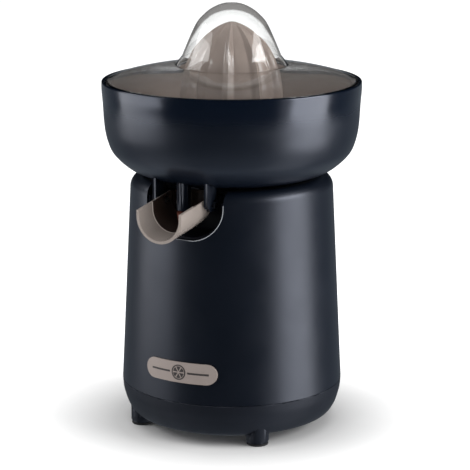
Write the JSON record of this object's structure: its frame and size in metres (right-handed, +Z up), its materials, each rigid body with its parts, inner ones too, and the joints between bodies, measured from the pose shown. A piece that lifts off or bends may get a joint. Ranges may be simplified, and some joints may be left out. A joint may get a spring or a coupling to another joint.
{
  "type": "citrus press juicer",
  "caption": "Electric citrus press: tapered round housing, wide bowl with a tilting spout, ribbed reamer and domed clear lid.",
  "frame": {"origin": "middle of the footprint at floor level, under the feet", "axes": "+Z up along the drive axis, -Y towards the spout, +X to the right seen from the front"},
  "size_m": [0.1668, 0.174, 0.2746],
  "materials": {
    "housing_paint": "satin navy",
    "bowl_paint": "satin navy",
    "base_plastic": "matte blue grey",
    "recess_plastic": "matt black",
    "badge_metal": "satin warm grey",
    "smoke_plastic": "glossy smoked taupe, translucent",
    "clear_plastic": "clear gloss",
    "silicone": "matt silicone",
    "rubber": "matt black rubber",
    "steel": "bright steel",
    "laminations": "varnished laminations",
    "copper": "enamelled copper",
    "bronze": "sintered bronze",
    "gear_plastic": "natural acetal",
    "plate_plastic": "dark nylon",
    "switch_plastic": "red phenolic",
    "black_plastic": "black acetal"
  },
  "bodies": {
    "housing": {"body_shell": "housing_paint", "spout_recess": "recess_plastic", "badge_plate": "badge_metal", "base_cover": "base_plastic", "foot_pad_1": "rubber", "foot_pad_2": "rubber", "foot_pad_3": "rubber", "foot_pad_4": "rubber", "base_screw_1": "steel", "base_screw_2": "steel", "base_screw_3": "steel", "base_screw_4": "steel", "cord_gland": "rubber", "deck_bush": "bronze", "plate_bush": "bronze", "shaft_seal": "rubber", "press_spring": "steel", "gear_plate_upper": "plate_plastic", "gear_plate_lower": "plate_plastic", "gearbox_screw_1": "steel", "gearbox_screw_2": "steel", "gearbox_screw_3": "steel", "gearbox_screw_4": "steel", "compound_axle": "steel", "stator": "laminations", "stator_coil": "copper", "motor_bridge_upper": "steel", "motor_bridge_lower": "steel", "motor_bearing_upper": "bronze", "motor_bearing_lower": "bronze", "motor_screw_1": "steel", "motor_screw_2": "steel", "motor_spacer_1": "steel", "motor_spacer_2": "steel", "switch_body": "switch_plastic", "switch_bracket": "steel", "switch_screw_1": "steel", "switch_screw_2": "steel", "lever_pin": "steel"},
    "press_carriage": {"thrust_cap": "black_plastic", "thrust_washer": "steel"},
    "drive_train": {"drive_shaft": "steel", "final_gear": "gear_plastic", "shaft_circlip": "steel"},
    "reamer": {"reamer": "smoke_plastic"},
    "bowl": {"bowl": "bowl_paint", "spout_pin_left": "steel", "spout_pin_right": "steel"},
    "spout": {"spout": "smoke_plastic", "spout_stopper": "silicone"},
    "strainer": {"strainer": "smoke_plastic"},
    "lid": {"lid": "clear_plastic"},
    "compound": {"compound_gear": "gear_plastic"},
    "rotor": {"rotor_core": "laminations", "motor_shaft": "steel", "motor_pinion": "bronze"},
    "lever": {"switch_lever": "steel"},
    "plunger": {"switch_plunger": "black_plastic"}
  },
  "joints": [
    {"name": "press", "type": "slide", "parent": "housing", "child": "press_carriage", "axis": [0, 0, -1], "range_m": [0, 0.002], "stiffness_N_per_m": 900, "springref_m": -0.006, "deforming": ["press_spring"]},
    {"name": "drive_spin", "type": "hinge", "parent": "press_carriage", "child": "drive_train", "pos_m": [0, 0.00355, 0.1], "axis": [0, 0, 1], "continuous": true},
    {"name": "reamer_lift", "type": "slide", "parent": "drive_train", "child": "reamer", "axis": [0, 0, 1], "range_m": [0, 0.085]},
    {"name": "bowl_lift", "type": "slide", "parent": "housing", "child": "bowl", "axis": [0, 0, 1], "range_m": [0, 0.085]},
    {"name": "spout_tilt", "type": "hinge", "parent": "bowl", "child": "spout", "pos_m": [0, -0.05345, 0.156], "axis": [-1, 0, 0], "range_deg": [0, 15]},
    {"name": "strainer_lift", "type": "slide", "parent": "bowl", "child": "strainer", "axis": [0, 0, 1], "range_m": [0, 0.075]},
    {"name": "lid_lift", "type": "slide", "parent": "strainer", "child": "lid", "axis": [0, 0, 1], "range_m": [0, 0.08]},
    {"name": "compound_spin", "type": "hinge", "parent": "housing", "child": "compound", "pos_m": [0, 0.03955, 0.1], "axis": [0, 0, 1], "continuous": true},
    {"name": "rotor_spin", "type": "hinge", "parent": "housing", "child": "rotor", "pos_m": [0.02, 0.0189, 0.06], "axis": [0, 0, 1], "continuous": true},
    {"name": "lever_tilt", "type": "hinge", "parent": "housing", "child": "lever", "pos_m": [0.0263, 0.00355, 0.0864], "axis": [0, -1, 0], "range_deg": [0, 6]},
    {"name": "plunger_push", "type": "slide", "parent": "housing", "child": "plunger", "axis": [0, 0, -1], "range_m": [0, 0.001]}
  ],
  "couplings": [
    {"joint": "compound_spin", "follows": "drive_spin", "ratio": -3},
    {"joint": "rotor_spin", "follows": "drive_spin", "ratio": 8.5},
    {"joint": "reamer_lift", "follows": "bowl_lift", "ratio": 1},
    {"joint": "lever_tilt", "follows": "press", "rad_per_m": 46},
    {"joint": "plunger_push", "follows": "press", "ratio": 0.27}
  ]
}
